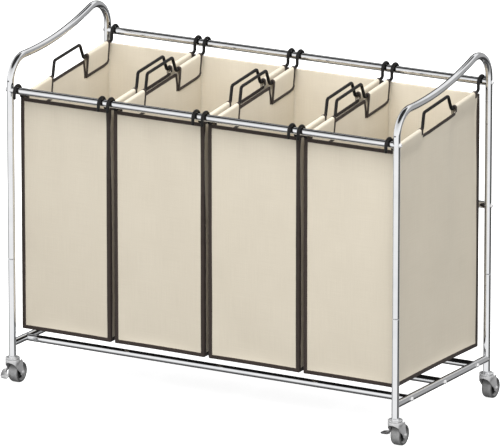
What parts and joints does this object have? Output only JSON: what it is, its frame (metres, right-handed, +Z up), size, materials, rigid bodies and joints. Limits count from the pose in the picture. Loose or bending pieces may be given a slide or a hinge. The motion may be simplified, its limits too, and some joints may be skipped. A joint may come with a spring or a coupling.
{
  "type": "laundry sorter on wheels",
  "caption": "Wheeled laundry sorter: a chromed tube frame with push handles and swivel casters carries deep open-top fabric bags on wire hangers that hook over two rails.",
  "frame": {"origin": "middle of the footprint, on the floor", "axes": "+X along the length to the user's right, -Y is the front (the lower rail), +Z up"},
  "size_m": [0.9901, 0.4744, 0.7835],
  "materials": {
    "chrome": "polished chrome plate on round steel tube",
    "zinc": "satin zinc-plated steel",
    "wheel_rubber": "matt grey rubber",
    "bag_cloth": "beige woven polyester with dark brown binding tape",
    "hanger_wire": "black coated steel wire"
  },
  "bodies": {
    "frame": {"side_frame_left": "chrome", "cross_bar_left": "chrome", "lower_post_front_left": "chrome", "lower_post_rear_left": "chrome", "side_frame_right": "chrome", "cross_bar_right": "chrome", "lower_post_front_right": "chrome", "lower_post_rear_right": "chrome", "front_top_rail": "chrome", "rear_top_rail": "chrome", "back_rail": "chrome", "bottom_rail_front": "chrome", "bottom_rail_middle": "chrome", "bottom_rail_rear": "chrome", "bolt_front_top_left": "zinc", "bolt_front_top_right": "zinc", "bolt_rear_top_left": "zinc", "bolt_rear_top_right": "zinc", "bolt_back_left": "zinc", "bolt_back_right": "zinc", "bolt_bottom_front_left": "zinc", "bolt_bottom_front_right": "zinc", "bolt_bottom_middle_left": "zinc", "bolt_bottom_middle_right": "zinc", "bolt_bottom_rear_left": "zinc", "bolt_bottom_rear_right": "zinc", "caster_stem_front_left": "zinc", "caster_stem_front_right": "zinc", "caster_stem_rear_left": "zinc", "caster_stem_rear_right": "zinc"},
    "bag_1": {"bag_1_cloth": "bag_cloth", "bag_1_wire_left": "hanger_wire", "bag_1_wire_right": "hanger_wire"},
    "bag_2": {"bag_2_cloth": "bag_cloth", "bag_2_wire_left": "hanger_wire", "bag_2_wire_right": "hanger_wire"},
    "bag_3": {"bag_3_cloth": "bag_cloth", "bag_3_wire_left": "hanger_wire", "bag_3_wire_right": "hanger_wire"},
    "bag_4": {"bag_4_cloth": "bag_cloth", "bag_4_wire_left": "hanger_wire", "bag_4_wire_right": "hanger_wire"},
    "caster_front_left": {"fork_front_left": "zinc", "axle_front_left": "zinc"},
    "wheel_front_left": {"wheel_front_left": "wheel_rubber"},
    "caster_rear_left": {"fork_rear_left": "zinc", "axle_rear_left": "zinc"},
    "wheel_rear_left": {"wheel_rear_left": "wheel_rubber"},
    "brake_front_left": {"brake_lever_front_left": "zinc"},
    "caster_front_right": {"fork_front_right": "zinc", "axle_front_right": "zinc"},
    "wheel_front_right": {"wheel_front_right": "wheel_rubber"},
    "caster_rear_right": {"fork_rear_right": "zinc", "axle_rear_right": "zinc"},
    "wheel_rear_right": {"wheel_rear_right": "wheel_rubber"},
    "brake_front_right": {"brake_lever_front_right": "zinc"}
  },
  "joints": [
    {"name": "bag_1_lift", "type": "slide", "parent": "frame", "child": "bag_1", "axis": [0, 0, 1], "range_m": [0, 0.65]},
    {"name": "bag_2_lift", "type": "slide", "parent": "frame", "child": "bag_2", "axis": [0, 0, 1], "range_m": [0, 0.65]},
    {"name": "bag_3_lift", "type": "slide", "parent": "frame", "child": "bag_3", "axis": [0, 0, 1], "range_m": [0, 0.65]},
    {"name": "bag_4_lift", "type": "slide", "parent": "frame", "child": "bag_4", "axis": [0, 0, 1], "range_m": [0, 0.65]},
    {"name": "caster_front_left_swivel", "type": "hinge", "parent": "frame", "child": "caster_front_left", "pos_m": [-0.475, -0.214, 0.057], "axis": [0, 0, 1], "continuous": true},
    {"name": "wheel_front_left_spin", "type": "hinge", "parent": "caster_front_left", "child": "wheel_front_left", "pos_m": [-0.475, -0.194, 0.0234], "axis": [1, 0, 0], "continuous": true},
    {"name": "caster_rear_left_swivel", "type": "hinge", "parent": "frame", "child": "caster_rear_left", "pos_m": [-0.475, 0.194, 0.057], "axis": [0, 0, 1], "continuous": true},
    {"name": "wheel_rear_left_spin", "type": "hinge", "parent": "caster_rear_left", "child": "wheel_rear_left", "pos_m": [-0.475, 0.214, 0.0234], "axis": [1, 0, 0], "continuous": true},
    {"name": "brake_front_left_press", "type": "hinge", "parent": "caster_front_left", "child": "brake_front_left", "pos_m": [-0.475, -0.211, 0.0333], "axis": [1, 0, 0], "range_deg": [-50, 0]},
    {"name": "caster_front_right_swivel", "type": "hinge", "parent": "frame", "child": "caster_front_right", "pos_m": [0.475, -0.214, 0.057], "axis": [0, 0, 1], "continuous": true},
    {"name": "wheel_front_right_spin", "type": "hinge", "parent": "caster_front_right", "child": "wheel_front_right", "pos_m": [0.475, -0.194, 0.0234], "axis": [1, 0, 0], "continuous": true},
    {"name": "caster_rear_right_swivel", "type": "hinge", "parent": "frame", "child": "caster_rear_right", "pos_m": [0.475, 0.194, 0.057], "axis": [0, 0, 1], "continuous": true},
    {"name": "wheel_rear_right_spin", "type": "hinge", "parent": "caster_rear_right", "child": "wheel_rear_right", "pos_m": [0.475, 0.214, 0.0234], "axis": [1, 0, 0], "continuous": true},
    {"name": "brake_front_right_press", "type": "hinge", "parent": "caster_front_right", "child": "brake_front_right", "pos_m": [0.475, -0.211, 0.0333], "axis": [1, 0, 0], "range_deg": [0, 50]}
  ]
}
